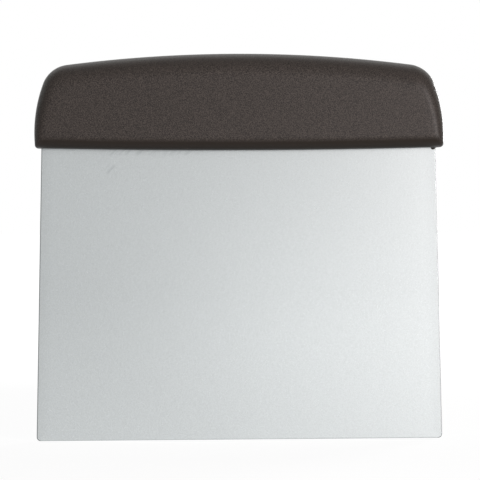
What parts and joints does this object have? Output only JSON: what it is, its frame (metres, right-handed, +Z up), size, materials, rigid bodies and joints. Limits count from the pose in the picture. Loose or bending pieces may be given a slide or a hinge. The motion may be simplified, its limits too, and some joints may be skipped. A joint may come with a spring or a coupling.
{
  "type": "dough scraper",
  "caption": "Bench scraper for dough: a flat steel blade, slightly wider at its working edge, with a rounded dark plastic grip moulded across its top.",
  "frame": {"origin": "middle of the working edge, which is the lowest part of the scraper", "axes": "+Z up from the working edge to the handle, X along the working edge, -Y out of the front face"},
  "size_m": [0.1502, 0.018, 0.1423],
  "materials": {
    "blade_steel": "satin",
    "handle_plastic": "satin"
  },
  "bodies": {
    "root": {"blade": "blade_steel", "handle": "handle_plastic"}
  },
  "joints": []
}
